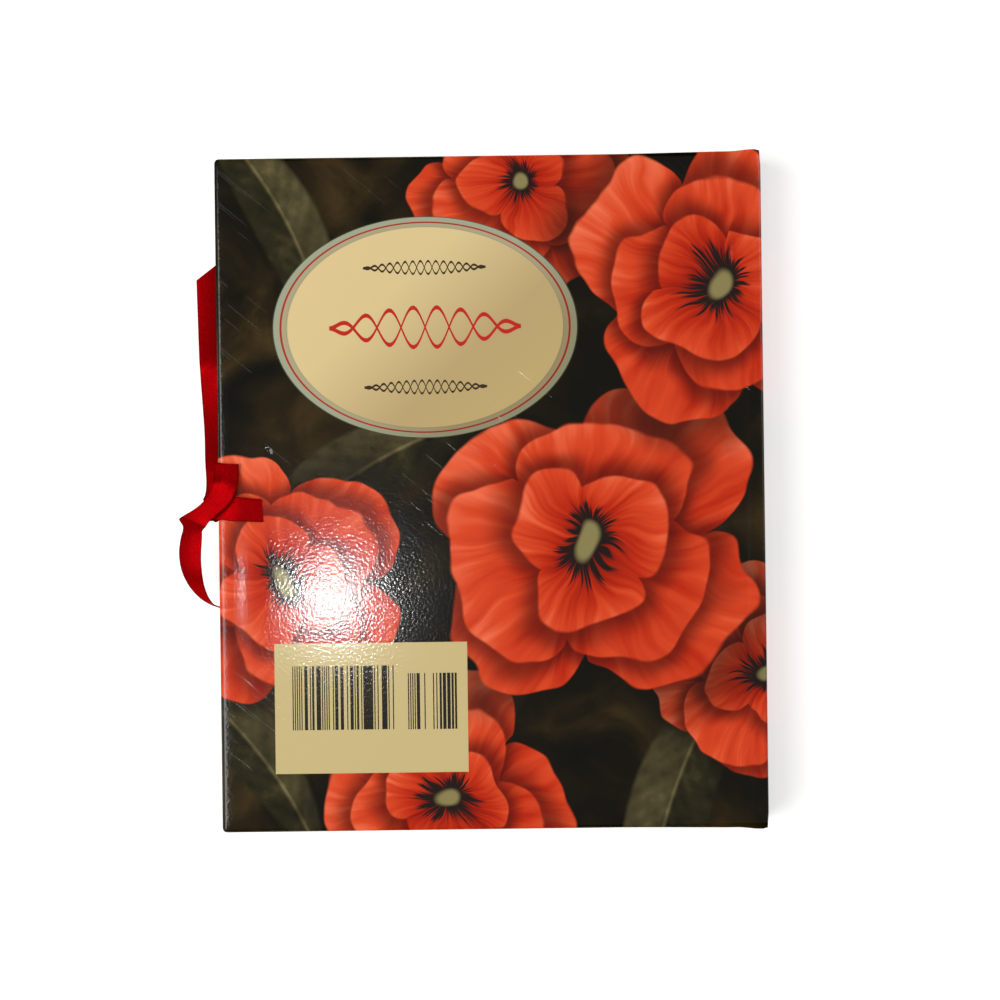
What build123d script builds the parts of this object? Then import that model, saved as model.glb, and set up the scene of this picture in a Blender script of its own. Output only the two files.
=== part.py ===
# A small case-bound address book, lying on its front cover, with a satin ribbon tied at the fore-edge.
# X runs from the fore-edge to the spine, Y from tail to head, Z from the front cover to the back cover.
# The origin is under the middle of the book, on the surface that it lies on.
from build123d import *

import os

os.makedirs("parts", exist_ok=True)

# Case
cover_width = 142.0  # fore-edge of the boards to the outside of the spine
cover_height = 175.0  # boards, head to tail
board_thickness = 2.4
board_corner_radius = 1.2
board_edge_radius = 0.5
spine_board_thickness = 1.8
spine_corner_radius = 1.0
spine_overhang = 0.8  # how far the spine stands past the boards at head and tail
cover_paper_thickness = 0.25
turn_in = 14.0  # cover paper folded over onto the inside of a board
endpaper_thickness = 0.15
pastedown_margin = 3.5  # turn-in left showing round a pastedown
joint_width = 8.3  # outside of the spine to a board's spine edge
groove_depth = 0.8
groove_slope = 1.6
groove_lip = 0.6  # flat paper between a board or the spine and the groove's slope
groove_bend = 0.5
hinge_cloth_thickness = 0.25
swing_clearance = 0.3  # room between a board and the spine's corner while a cover opens

# Book block
square = 3.5  # how far the boards stand past the leaves
hollow = 0.4  # air between the spine board and the lining
lining_thickness = 0.4
thread_diameter = 0.3
stitch_length = 16.0
stitch_count = 4
leaf_gap = 0.06
birthday_section_count = 5
birthday_section_thickness = 1.3
fold_radius = 0.5
index_leaf_count = 12
index_leaf_thickness = 0.36
leaf_root_gap = 0.3  # room between the index leaves and their bound edge
tab_depth = 7.0
tab_corner_radius = 1.5
headband_width = 1.5
headband_height = 1.7
headband_radius = 0.6
headband_inset = 0.3

# Ribbons
ribbon_width = 6.0
ribbon_thickness = 0.25
ribbon_anchor = 10.0  # length held under a pastedown
back_ribbon_y = 3.4
front_ribbon_y = -3.6
pocket_clearance = 0.2  # each side of a ribbon in its pocket

# Levels along Z
turn_in_depth = 2 * cover_paper_thickness + board_thickness
cover_thickness = turn_in_depth + endpaper_thickness
flyleaf_pitch = endpaper_thickness + leaf_gap
birthday_pitch = birthday_section_thickness + leaf_gap
index_pitch = index_leaf_thickness + leaf_gap
birthday_low = cover_thickness + leaf_gap + flyleaf_pitch
index_low = birthday_low + birthday_section_count * birthday_pitch
back_inside = index_low + index_leaf_count * index_pitch + flyleaf_pitch
top = back_inside + cover_thickness

# Levels along X
fore_edge = -cover_width / 2
spine_face = cover_width / 2
board_edge = spine_face - joint_width
spine_inside = spine_face - cover_paper_thickness - spine_board_thickness
lining_back = spine_inside - hollow
lining_front = lining_back - lining_thickness
block_back = lining_front - thread_diameter
block_fore = fore_edge + square
block_height = cover_height - 2 * square

# The back cover turns with its leaves on its joint paper, level with its outside face, and opened flat its board
# lies clear of the spine. The front cover, under the block, turns about a line level with its inside face, where
# its board keeps the same clearance from the spine's corner at every angle and comes up beside the spine.
back_hinge_x = board_edge + (joint_width + swing_clearance) / 2
front_hinge_reach = (joint_width**2 + cover_thickness**2 - swing_clearance**2) / (
    2 * (joint_width - swing_clearance)
)
front_hinge_x = board_edge + front_hinge_reach
print(f"back hinge at x {back_hinge_x:.3f}, z {top:.3f}")
print(f"front hinge at x {front_hinge_x:.3f}, z {cover_thickness:.3f}")


def slab(x_low, x_high, height, z_from, z_to, y_middle=0.0, mode=Mode.ADD):
    """A flat rectangular sheet between two X levels and two Z levels."""
    with BuildSketch(Plane.XY.offset(z_from)) as sheet:
        with Locations(((x_low + x_high) / 2, y_middle)):
            Rectangle(x_high - x_low, height)
    extrude(sheet.sketch, amount=z_to - z_from, mode=mode)


def save(piece, name):
    """Name a finished piece and write it."""
    piece.part.label = name
    export_step(piece.part, f"parts/{name}.step")


# Front and back covers: board, paper folded round it, pastedown, joint paper and inner hinge.
# Depths are measured inwards from the outside face.
for side, outside, inward, ribbon_y in (
    ("front", 0.0, 1, front_ribbon_y),
    ("back", top, -1, back_ribbon_y),
):
    paper_inside = outside + inward * cover_paper_thickness
    board_inside = paper_inside + inward * board_thickness
    turn_in_inside = outside + inward * turn_in_depth
    cover_inside = outside + inward * cover_thickness
    pocket_floor = turn_in_inside - inward * ribbon_thickness
    pocket_width = ribbon_width + 2 * pocket_clearance
    pocket_end = fore_edge + ribbon_anchor + pocket_clearance

    with BuildPart() as board:
        slab(
            fore_edge + cover_paper_thickness,
            board_edge,
            cover_height - 2 * cover_paper_thickness,
            paper_inside,
            board_inside,
        )
        fillet(
            board.edges().filter_by(Axis.Z).group_by(Axis.X)[0],
            board_corner_radius - cover_paper_thickness,
        )
        slab(fore_edge, pocket_end, pocket_width, pocket_floor, turn_in_inside, ribbon_y, Mode.SUBTRACT)
    save(board, f"{side}_board")

    with BuildPart() as paper:
        slab(fore_edge, board_edge, cover_height, outside, turn_in_inside)
        fillet(paper.edges().filter_by(Axis.Z).group_by(Axis.X)[0], board_corner_radius)
        outside_rim = paper.faces().sort_by(Axis.Z)[0 if inward > 0 else -1].edges()
        fillet(outside_rim.sort_by(Axis.X)[:-1], board_edge_radius)
        slab(
            fore_edge + cover_paper_thickness,
            board_edge,
            cover_height - 2 * cover_paper_thickness,
            paper_inside,
            board_inside,
            mode=Mode.SUBTRACT,
        )
        slab(
            fore_edge + turn_in,
            board_edge,
            cover_height - 2 * turn_in,
            board_inside,
            turn_in_inside,
            mode=Mode.SUBTRACT,
        )
        slab(fore_edge, pocket_end, pocket_width, pocket_floor, turn_in_inside, ribbon_y, Mode.SUBTRACT)
    save(paper, f"{side}_cover_paper")

    with BuildPart() as pastedown:
        slab(
            fore_edge + pastedown_margin,
            board_edge,
            cover_height - 2 * pastedown_margin,
            turn_in_inside,
            cover_inside,
        )
        slab(fore_edge + turn_in, board_edge, cover_height - 2 * turn_in, board_inside, turn_in_inside)
    save(pastedown, f"{side}_pastedown")

    with BuildPart() as joint_paper:
        with BuildSketch(Plane.XZ):
            with BuildLine():
                middle = outside + inward * cover_paper_thickness / 2
                bottom = outside + inward * groove_depth
                FilletPolyline(
                    (board_edge, middle),
                    (board_edge + groove_lip, middle),
                    (board_edge + groove_lip + groove_slope, bottom),
                    (spine_inside - groove_lip - groove_slope, bottom),
                    (spine_inside - groove_lip, middle),
                    (spine_inside, middle),
                    radius=groove_bend,
                )
            trace(line_width=cover_paper_thickness)
        extrude(amount=cover_height / 2, both=True)
    save(joint_paper, f"{side}_joint_paper")

    with BuildPart() as inner_hinge:
        slab(
            board_edge,
            lining_back,
            block_height,
            cover_inside - inward * hinge_cloth_thickness,
            cover_inside,
        )
    save(inner_hinge, f"{side}_inner_hinge")

# Spine: a board in the cover paper, which folds over its four edges.
with BuildPart() as spine_board:
    slab(
        spine_inside,
        spine_face - cover_paper_thickness,
        cover_height + 2 * (spine_overhang - cover_paper_thickness),
        cover_paper_thickness,
        top - cover_paper_thickness,
    )
    fillet(
        spine_board.edges().filter_by(Axis.Y).group_by(Axis.X)[-1],
        spine_corner_radius - cover_paper_thickness,
    )
save(spine_board, "spine_board")

with BuildPart() as spine_paper:
    slab(spine_inside, spine_face, cover_height + 2 * spine_overhang, 0, top)
    fillet(spine_paper.edges().filter_by(Axis.Y).group_by(Axis.X)[-1], spine_corner_radius)
    add(spine_board.part, mode=Mode.SUBTRACT)
save(spine_paper, "spine_cover_paper")

# Flyleaves, free of the covers and turning with them.
for side, low in (
    ("front", cover_thickness + leaf_gap),
    ("back", back_inside - leaf_gap - endpaper_thickness),
):
    with BuildPart() as flyleaf:
        slab(block_fore, board_edge, block_height, low, low + endpaper_thickness)
    save(flyleaf, f"{side}_flyleaf")

# Birthday part: sewn sections with rounded folds at the back.
for number in range(birthday_section_count):
    low = birthday_low + number * birthday_pitch
    with BuildPart() as section:
        slab(block_fore, block_back, block_height, low, low + birthday_section_thickness)
        fillet(section.edges().filter_by(Axis.Y).group_by(Axis.X)[-1], fold_radius)
    save(section, f"birthday_section_{number + 1}")

# Address part: gatherings with a stepped thumb index. Each keeps its fore-edge only down to its own tab.
tab_height = block_height / index_leaf_count
for number in range(1, index_leaf_count + 1):
    with BuildPart() as leaf:
        with BuildSketch(Plane.XY.offset(index_low + (number - 1) * index_pitch)) as outline:
            with Locations(((block_fore + board_edge) / 2, 0)):
                Rectangle(board_edge - block_fore, block_height)
            if number < index_leaf_count:
                with Locations((block_fore, -block_height / 2)):
                    Rectangle(
                        tab_depth,
                        block_height - number * tab_height,
                        align=(Align.MIN, Align.MIN),
                        mode=Mode.SUBTRACT,
                    )
            fillet(outline.vertices().group_by(Axis.X)[0], tab_corner_radius)
        extrude(amount=index_leaf_thickness)
    save(leaf, f"index_leaf_{number:02d}")

with BuildPart() as bound_edge:
    slab(board_edge + leaf_root_gap, block_back, block_height, index_low, back_inside)
save(bound_edge, "bound_edge")

# Back of the block: stitches through the sections, lining cloth, headband and tailband.
with BuildPart() as thread:
    for number in range(birthday_section_count):
        middle = birthday_low + number * birthday_pitch + birthday_section_thickness / 2
        with Locations(Location((block_back + thread_diameter / 2, 0, middle))):
            with GridLocations(1, block_height / stitch_count, 1, stitch_count):
                Cylinder(thread_diameter / 2, stitch_length, rotation=(90, 0, 0))
save(thread, "sewing_thread")

with BuildPart() as lining:
    slab(lining_front, lining_back, block_height, cover_thickness, back_inside)
save(lining, "spine_lining")

for name, end in (("headband", 1), ("tailband", -1)):
    with BuildPart() as band:
        slab(
            block_back - headband_width,
            block_back,
            headband_height,
            cover_thickness + headband_inset,
            back_inside - headband_inset,
            y_middle=end * (block_height + headband_height) / 2,
        )
        outer_edges = band.edges().filter_by(Axis.Z).group_by(Axis.Y)[-1 if end > 0 else 0]
        fillet(outer_edges, headband_radius)
    save(band, name)


def ribbon(name, stations):
    """A flat ribbon through stations. Each is the ribbon's middle and its reach from edge to edge."""
    last = len(stations) - 1
    crossings = []
    for number, (middle, reach) in enumerate(stations):
        heading = Vector(stations[min(number + 1, last)][0]) - Vector(stations[max(number - 1, 0)][0])
        across = Vector(reach)
        facing = heading.cross(across)
        crossings.append((Plane(origin=middle, x_dir=across, z_dir=across.cross(facing)), across.length))
    with BuildPart() as strip:
        for ends in zip(crossings, crossings[1:]):
            for plane, reach in ends:
                with BuildSketch(plane):
                    Rectangle(reach, ribbon_thickness)
            loft(ruled=True)
    save(strip, name)


# Ribbon from under the back pastedown: round the board's edge, back on itself in a fold, across the knot
# and down at the fore-edge, where it turns on edge.
straight = (0, ribbon_width, 0)
back_anchor_z = top - turn_in_depth + ribbon_thickness / 2
ribbon(
    "back_ribbon",
    [
        ((fore_edge + ribbon_anchor, back_ribbon_y, back_anchor_z), straight),
        ((fore_edge - 0.4, back_ribbon_y, back_anchor_z), straight),
        ((fore_edge - 1.0, back_ribbon_y, top - 2.5), straight),
        ((fore_edge - 1.2, back_ribbon_y, top - 1.9), straight),
        ((fore_edge - 1.1, back_ribbon_y, top - 0.3), straight),
        ((fore_edge - 0.7, back_ribbon_y, top + 0.35), straight),
        ((fore_edge + 0.1, back_ribbon_y, top + 0.6), straight),
        ((fore_edge + 3.0, 3.2, top + 0.55), (0, 6.4, 0)),
        ((fore_edge + 4.1, 3.1, top + 0.6), (0, 7.4, 0)),
        ((fore_edge + 4.6, 3.0, top + 1.1), (0, 8.0, 0)),
        ((fore_edge + 4.1, 2.6, top + 1.6), (0, 8.4, 0)),
        ((fore_edge + 1.5, 0.0, top + 1.9), (-2.6, 6.0, 0)),
        ((fore_edge - 2.0, -3.3, top + 1.9), (-4.2, 4.2, 0)),
        ((fore_edge - 5.5, -6.0, top + 0.9), (-4.7, 3.6, 0)),
        ((fore_edge - 7.3, -8.2, top - 0.5), (-5.4, 2.7, 0)),
        ((fore_edge - 7.8, -11.5, top - 3.5), (-5.9, 0.6, 0)),
        ((fore_edge - 8.3, -16.8, top - 7.5), (-5.9, -0.6, 0.6)),
        ((fore_edge - 7.8, -23.0, top - 11.0), (-5.2, -1.2, 2.6)),
        ((fore_edge - 5.4, -27.9, top - 13.5), (-3.4, -0.8, 4.9)),
        ((fore_edge - 1.4, -30.0, top - 14.8), (-0.8, -0.4, 5.9)),
    ],
)

# Ribbon from under the front pastedown: up to the knot.
front_anchor_z = turn_in_depth - ribbon_thickness / 2
ribbon(
    "front_ribbon_tape",
    [
        ((fore_edge + ribbon_anchor, front_ribbon_y, front_anchor_z), straight),
        ((fore_edge - 0.8, front_ribbon_y, front_anchor_z), straight),
        ((fore_edge - 2.0, front_ribbon_y, 3.2), straight),
        ((fore_edge - 2.8, front_ribbon_y, 4.4), straight),
        ((fore_edge - 3.3, front_ribbon_y, 7.0), straight),
        ((fore_edge - 3.2, front_ribbon_y, 12.3), straight),
    ],
)

# The same ribbon past the knot: an upper strand lying beside the book, a fold, and a short tail on the cover.
flat = (ribbon_width, 0, 0)
tail_y = -3.7
tail_reach = (0, -ribbon_width, 0)
ribbon(
    "front_ribbon_bow",
    [
        ((fore_edge - 5.6, 59.3, 0.35), (6.0, 4.9, 0)),
        ((fore_edge - 5.4, 50.0, 0.35), flat),
        ((fore_edge - 4.8, 40.0, 1.0), flat),
        ((fore_edge - 3.9, 28.0, 4.2), flat),
        ((fore_edge - 2.9, 16.0, 9.2), flat),
        ((fore_edge - 2.3, 8.0, 12.4), flat),
        ((fore_edge - 2.4, 2.0, 13.9), (6.0, -0.6, 0)),
        ((fore_edge - 2.9, -2.6, 14.5), (5.0, -4.2, 0)),
        ((fore_edge - 3.2, -4.0, 15.1), (5.2, -5.6, 0)),
        ((fore_edge - 2.7, -3.9, 15.9), (3.4, -6.0, 0)),
        ((fore_edge - 1.9, tail_y, 16.8), (1.0, -6.0, 0)),
        ((fore_edge - 1.0, tail_y, top - 0.6), tail_reach),
        ((fore_edge - 0.5, tail_y, top + 0.15), tail_reach),
        ((fore_edge + 0.4, tail_y, top + 0.4), tail_reach),
        ((fore_edge + 4.0, tail_y, top + 0.3), tail_reach),
        ((fore_edge + 10.7, tail_y, top + 0.25), (1.0, -6.2, 0)),
    ],
)
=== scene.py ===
import math
import random

import bmesh
import bpy
import numpy as np
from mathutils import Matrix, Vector


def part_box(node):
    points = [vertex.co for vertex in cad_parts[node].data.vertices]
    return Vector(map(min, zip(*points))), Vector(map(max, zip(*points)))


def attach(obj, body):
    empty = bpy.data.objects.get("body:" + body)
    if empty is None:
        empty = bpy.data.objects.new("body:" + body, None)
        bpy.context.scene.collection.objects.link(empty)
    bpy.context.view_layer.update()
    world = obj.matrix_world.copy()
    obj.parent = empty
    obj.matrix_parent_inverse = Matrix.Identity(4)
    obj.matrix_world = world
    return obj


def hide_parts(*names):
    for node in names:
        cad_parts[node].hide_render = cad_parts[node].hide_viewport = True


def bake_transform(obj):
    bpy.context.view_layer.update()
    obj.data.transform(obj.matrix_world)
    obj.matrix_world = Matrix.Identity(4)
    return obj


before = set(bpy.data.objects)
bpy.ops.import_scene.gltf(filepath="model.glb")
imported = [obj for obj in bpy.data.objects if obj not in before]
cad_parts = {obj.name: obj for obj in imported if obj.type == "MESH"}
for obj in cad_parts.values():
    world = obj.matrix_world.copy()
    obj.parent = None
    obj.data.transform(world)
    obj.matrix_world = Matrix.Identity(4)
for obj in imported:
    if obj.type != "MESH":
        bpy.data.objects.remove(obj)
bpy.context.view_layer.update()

# Boards: three plates of grey millboard, cut square, that stiffen the two covers and the spine.
# They are pressed from waste paper, grey-brown and a little furry, and only a cut edge ever shows.
mm = 0.001


def linear(code):
    """The linear colour of an sRGB hex code."""
    parts = [int(code[i : i + 2], 16) / 255 for i in (1, 3, 5)]
    return [p / 12.92 if p <= 0.04045 else ((p + 0.055) / 1.055) ** 2.4 for p in parts] + [1.0]


def add(tree, kind, *values, named=None, stops=None, **settings):
    """Adds one shader node with its settings.
    Values fill its inputs in order, named ones by name or place, and stops are the colours of its ramp."""
    node = tree.nodes.new(kind if kind.startswith("Node") else "ShaderNode" + kind)
    for name, value in settings.items():
        setattr(node, name, value)
    for place, value in [*enumerate(values), *(named or {}).items()]:
        value = value.outputs[0] if isinstance(value, bpy.types.Node) else value
        if isinstance(value, bpy.types.NodeSocket):
            tree.links.new(value, node.inputs[place])
        else:
            node.inputs[place].default_value = value
    if stops:
        while len(node.color_ramp.elements) < len(stops):
            node.color_ramp.elements.new(1.0)
        for element, (place, code) in zip(node.color_ramp.elements, stops):
            element.position = place
            element.color = linear(code)
    return node


def surface(name, sockets):
    """A new material, its shader tree and its shader, with the shader's own sockets set."""
    material = bpy.data.materials.new(name)
    material.use_nodes = True
    shader = material.node_tree.nodes["Principled BSDF"]
    for socket, value in sockets.items():
        shader.inputs[socket].default_value = value
    return material, material.node_tree, shader


def finish_node(material, slot, *names):
    """Gives shown CAD nodes their material."""
    for name in names:
        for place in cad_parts[name].material_slots:
            place.material = material


# Millboard: matt grey-brown, flecked with darker fibres, which are drawn coarser than real.
fibre_size = 1.1111 * mm
millboard, tree, shader = surface("millboard", {"Roughness": 0.92, "IOR": 1.45})
spot = add(tree, "TexCoord").outputs["Object"]
fibres = add(
    tree, "TexNoise", named={"Vector": spot, "Scale": 1 / fibre_size, "Detail": 5.0, "Roughness": 0.7}
)
shade = add(tree, "ValToRGB", fibres, stops=[(0.3, "#6F675B"), (0.5, "#938A7C"), (0.75, "#A79E90")])
tree.links.new(shade.outputs[0], shader.inputs["Base Color"])
raised = add(tree, "Bump", named={"Height": fibres.outputs[0], "Strength": 0.5, "Distance": 0.05 * mm})
tree.links.new(raised.outputs[0], shader.inputs["Normal"])
finish_node(millboard, "greyboard", "back_board", "front_board", "spine_board")

# Cover paper: one printed sheet, gloss-laminated, glued over both boards and the spine and folded round their
# edges. It is pressed down into the two joints. Its picture of red round-petalled flowers runs all over it.


def drawn_box(name):
    """The low and the high corner of a CAD node's box, in mm."""
    return [[round(value / mm, 3) for value in point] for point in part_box(name)]


(fore, _, underside), (board_end, half, face) = drawn_box("back_cover_paper")
(lip_end, _, _), (spine_face, spine_end, _) = drawn_box("spine_cover_paper")
corner, spine_corner = 1.2, 0.7
# The sheet laid flat: the back cover is at the left, then comes the spine, then the front.
spine_girth = 2 * (spine_face - spine_corner - lip_end) + face - 2 * spine_corner + math.pi * spine_corner
sheet_reach = lip_end - fore + spine_girth / 2
sheet_middle = fore + sheet_reach


def piece(name, points, faces, material, flat, smooth=True):
    """A mesh piece from points and faces, in mm.
    Flat is each point's place on the flat sheet, where its print lies. The material may be a function that
    picks one by a face's place on the sheet."""
    work = bmesh.new()
    layer = work.loops.layers.uv.new("flat")
    corners = [work.verts.new(Vector(p) * mm) for p in points]
    used = []
    for face_points in faces:
        made = work.faces.new([corners[i] for i in face_points])
        made.smooth = smooth
        for loop, i in zip(made.loops, face_points):
            loop[layer].uv = (flat[i][0] * mm, flat[i][1] * mm)
        own = material(*np.mean([flat[i] for i in face_points], axis=0)) if callable(material) else material
        if own not in used:
            used.append(own)
        made.material_index = used.index(own)
    bmesh.ops.remove_doubles(work, verts=work.verts, dist=1e-7)
    bmesh.ops.recalc_face_normals(work, faces=work.faces)
    mesh = bpy.data.meshes.new(name)
    work.to_mesh(mesh)
    work.free()
    for own in used:
        mesh.materials.append(own)
    item = bpy.data.objects.new(name, mesh)
    bpy.context.scene.collection.objects.link(item)
    return item


def grid_faces(rows, columns, first=0):
    """The quads of a grid of points numbered row by row."""
    starts = [first + r * columns + c for r in range(rows - 1) for c in range(columns - 1)]
    return [(i, i + 1, i + columns + 1, i + columns) for i in starts]


def smooth_step(t):
    """A soft rise from 0 to 1 while t goes from 0 to 1."""
    t = np.clip(t, 0, 1)
    return t * t * (3 - 2 * t)


def print_group(name, takes, gives):
    """A node group that draws one motif of the picture, and the values that it is given."""
    group = bpy.data.node_groups.new(name, "ShaderNodeTree")
    for way, sockets in [("INPUT", takes), ("OUTPUT", gives)]:
        for socket, kind in sockets.items():
            group.interface.new_socket(socket, in_out=way, socket_type="NodeSocket" + kind)
    return group, add(group, "NodeGroupInput").outputs


# Leaf of the picture: a pointed blade with a pale midrib, out of focus at its edge. Sizes are in mm.
blade_bow, soft_edge, midrib = 9.0, 1.6, 0.9
vein_pitch, leaf_cloud = 5.4636, 8.3333
leaf_print, given = print_group(
    "printed_leaf",
    {
        "Point": "Vector", "Centre": "Vector", "Length": "Float",
        "Width": "Float", "Turn": "Float", "Light": "Float",
    },
    {"Colour": "Color", "Cover": "Float"},
)
place = add(leaf_print, "VectorMath", given["Point"], given["Centre"], operation="SUBTRACT")
turn = {"Vector": place, "Angle": given["Turn"]}
place = add(leaf_print, "VectorRotate", named=turn, rotation_type="Z_AXIS")
place_x = add(leaf_print, "VectorMath", place, (1.0, 0.0, 0.0), operation="DOT_PRODUCT").outputs["Value"]
place_y = add(leaf_print, "VectorMath", place, (0.0, 1.0, 0.0), operation="DOT_PRODUCT").outputs["Value"]
along = add(leaf_print, "Math", place_x, given["Length"], operation="DIVIDE")
square = add(leaf_print, "Math", along, along, operation="MULTIPLY")
bow = add(leaf_print, "Math", square, blade_bow, operation="MULTIPLY")
across = add(leaf_print, "Math", place_y, bow, operation="ADD")
away = add(leaf_print, "Math", across, operation="ABSOLUTE")
taper = add(leaf_print, "Math", 1.0, square, operation="SUBTRACT")
lean = add(leaf_print, "Math", along, -0.35, 1.0, operation="MULTIPLY_ADD")
taper = add(leaf_print, "Math", taper, lean, operation="MULTIPLY")
reach = add(leaf_print, "Math", taper, given["Width"], operation="MULTIPLY")
inside = add(leaf_print, "Math", reach, away, operation="SUBTRACT")
cover = add(leaf_print, "MapRange", inside, 0.0, soft_edge, 0.0, 1.0, interpolation_type="SMOOTHSTEP")
grain = add(
    leaf_print, "TexNoise", named={"Vector": place, "Scale": 1 / leaf_cloud, "Detail": 3.0, "Roughness": 0.55}
)
slant = add(leaf_print, "Math", away, 1.3, place_x, operation="MULTIPLY_ADD")
veins = add(leaf_print, "Math", slant, 2 * math.pi / vein_pitch, operation="MULTIPLY")
veins = add(leaf_print, "Math", veins, operation="SINE")
rib = add(leaf_print, "MapRange", away, 0.0, midrib, 0.28, 0.0, interpolation_type="SMOOTHSTEP")
fold = add(leaf_print, "MapRange", across, -1.0, 1.0, -0.11, 0.11)
tone = add(leaf_print, "Math", grain, 0.75, given["Light"], operation="MULTIPLY_ADD")
tone = add(leaf_print, "Math", veins, 0.025, tone, operation="MULTIPLY_ADD")
tone = add(leaf_print, "Math", tone, rib, operation="ADD")
tone = add(leaf_print, "Math", tone, fold, operation="ADD")
green = add(
    leaf_print, "ValToRGB", tone,
    stops=[(0.2, "#100F05"), (0.45, "#2A2612"), (0.7, "#4E462B"), (1.0, "#82764E")],
)
add(leaf_print, "NodeGroupOutput", named={"Colour": green, "Cover": cover})

# Flower of the picture: three rings of broad ruffled petals, lit from the upper left, round a dark eye with
# stamens. Sizes are shares of its radius. A Mix node's inputs 0, 6 and 7 are its share and its two colours.
petal_rings = [(4, 4.1, 1.0), (3, 3.45, 0.78), (3, 3.9, 0.5)]
petal_reach, petal_varies, petal_notch = 0.84, 0.22, 0.3
ruffle_depth, lit_from = 0.36, (-0.55, 0.75, 0.0)
petal_streaks, stamens_round, eye_reach, pod_reach = 9.0, 7.0, 0.36, 0.09
seed_step, scatter, scatter_far = 7.13, 12.9898, 4375.85
bloom_print, given = print_group(
    "printed_bloom",
    {
        "Point": "Vector", "Centre": "Vector", "Radius": "Float",
        "Tilt": "Float", "Turn": "Float", "Seed": "Float",
    },
    {"Colour": "Color", "Cover": "Float", "Shadow": "Float"},
)
place = add(bloom_print, "VectorMath", given["Point"], given["Centre"], operation="SUBTRACT")
turn = {"Vector": place, "Angle": given["Turn"]}
turned = add(bloom_print, "VectorRotate", named=turn, rotation_type="Z_AXIS")
height = add(bloom_print, "Math", given["Radius"], given["Tilt"], operation="MULTIPLY")
reach = add(bloom_print, "CombineXYZ", given["Radius"], height, 1.0)
local = add(bloom_print, "VectorMath", turned, reach, operation="DIVIDE")
lift = add(bloom_print, "CombineXYZ", 0.0, 0.0, given["Seed"])
lifted = add(bloom_print, "VectorMath", local, lift, operation="ADD")
ruffle = add(
    bloom_print, "TexNoise", named={"Vector": lifted, "Scale": 2.1, "Detail": 1.5, "Roughness": 0.45}
)
ruffle = add(bloom_print, "VectorMath", ruffle.outputs["Color"], (0.5, 0.5, 0.5), operation="SUBTRACT")
ruffle = add(bloom_print, "VectorMath", ruffle, (ruffle_depth, ruffle_depth, 0.0), operation="MULTIPLY")
local = add(bloom_print, "VectorMath", local, ruffle, operation="ADD")
far = add(bloom_print, "VectorMath", local, operation="LENGTH").outputs["Value"]
local_x = add(bloom_print, "VectorMath", local, (1.0, 0.0, 0.0), operation="DOT_PRODUCT").outputs["Value"]
local_y = add(bloom_print, "VectorMath", local, (0.0, 1.0, 0.0), operation="DOT_PRODUCT").outputs["Value"]
angle = add(bloom_print, "Math", local_y, local_x, operation="ARCTAN2")
lit = add(bloom_print, "VectorMath", place, lit_from, operation="DOT_PRODUCT").outputs["Value"]
lit = add(bloom_print, "Math", lit, given["Radius"], operation="DIVIDE")
colour = covered = None
for petals, offset, size in petal_rings:
    around = add(bloom_print, "Math", angle, petals / (2 * math.pi), offset, operation="MULTIPLY_ADD")
    number = add(bloom_print, "Math", around, operation="FLOOR")
    number = add(bloom_print, "Math", number, float(petals), operation="FLOORED_MODULO")
    share = add(bloom_print, "Math", around, operation="FRACT")
    # Each petal has its own chance number, which sets its reach and its tone.
    mark = add(bloom_print, "Math", given["Seed"], seed_step, number, operation="MULTIPLY_ADD")
    mark = add(bloom_print, "Math", mark, 10 * size, operation="ADD")
    chance = add(bloom_print, "Math", mark, scatter, operation="MULTIPLY")
    chance = add(bloom_print, "Math", chance, operation="SINE")
    chance = add(bloom_print, "Math", chance, scatter_far, operation="MULTIPLY")
    chance = add(bloom_print, "Math", chance, operation="FRACT")
    side = add(bloom_print, "Math", share, 2.0, -1.0, operation="MULTIPLY_ADD")
    side = add(bloom_print, "Math", side, operation="ABSOLUTE")
    notch = add(bloom_print, "Math", side, 3.0, operation="POWER")
    rim = add(bloom_print, "Math", chance, petal_varies * size, petal_reach * size, operation="MULTIPLY_ADD")
    dip = add(bloom_print, "Math", notch, -petal_notch, 1.0, operation="MULTIPLY_ADD")
    rim = add(bloom_print, "Math", rim, dip, operation="MULTIPLY")
    inside = add(bloom_print, "Math", rim, far, operation="SUBTRACT")
    cover = add(bloom_print, "MapRange", inside, 0.0, 0.022, 0.0, 1.0, interpolation_type="SMOOTHSTEP")
    ray = add(bloom_print, "Math", share, petal_streaks, operation="MULTIPLY")
    ray = add(bloom_print, "CombineXYZ", ray, far, mark)
    streaks = add(
        bloom_print, "TexNoise", named={"Vector": ray, "Scale": 1.5, "Detail": 2.0, "Roughness": 0.6}
    )
    out = add(bloom_print, "Math", far, rim, operation="DIVIDE")
    tone = add(bloom_print, "Math", out, 0.5, -0.12, operation="MULTIPLY_ADD")
    for part, weight in [(streaks, 0.62), (chance, 0.16), (notch, -0.2), (lit, 0.13)]:
        tone = add(bloom_print, "Math", part, weight, tone, operation="MULTIPLY_ADD")
    red = add(
        bloom_print, "ValToRGB", tone,
        stops=[(0.05, "#3C0501"), (0.3, "#8B1002"), (0.52, "#BF2A0A"), (0.74, "#DC4822"), (1.0, "#FF7F58")],
    ).outputs[0]
    if colour is None:
        colour, covered = red, cover
        shadow = add(bloom_print, "MapRange", inside, -0.3, 0.02, 0.0, 0.75, interpolation_type="SMOOTHSTEP")
    else:
        under = add(bloom_print, "MapRange", inside, -0.17, 0.0, 0.0, 0.72, interpolation_type="SMOOTHSTEP")
        for over, ink in [(under, linear("#480702")), (cover, red)]:
            colour = add(bloom_print, "Mix", named={0: over, 6: colour, 7: ink}, data_type="RGBA").outputs[2]
        covered = add(bloom_print, "Math", covered, cover, operation="MAXIMUM")
fringe = add(bloom_print, "Math", angle, stamens_round, operation="MULTIPLY")
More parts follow.
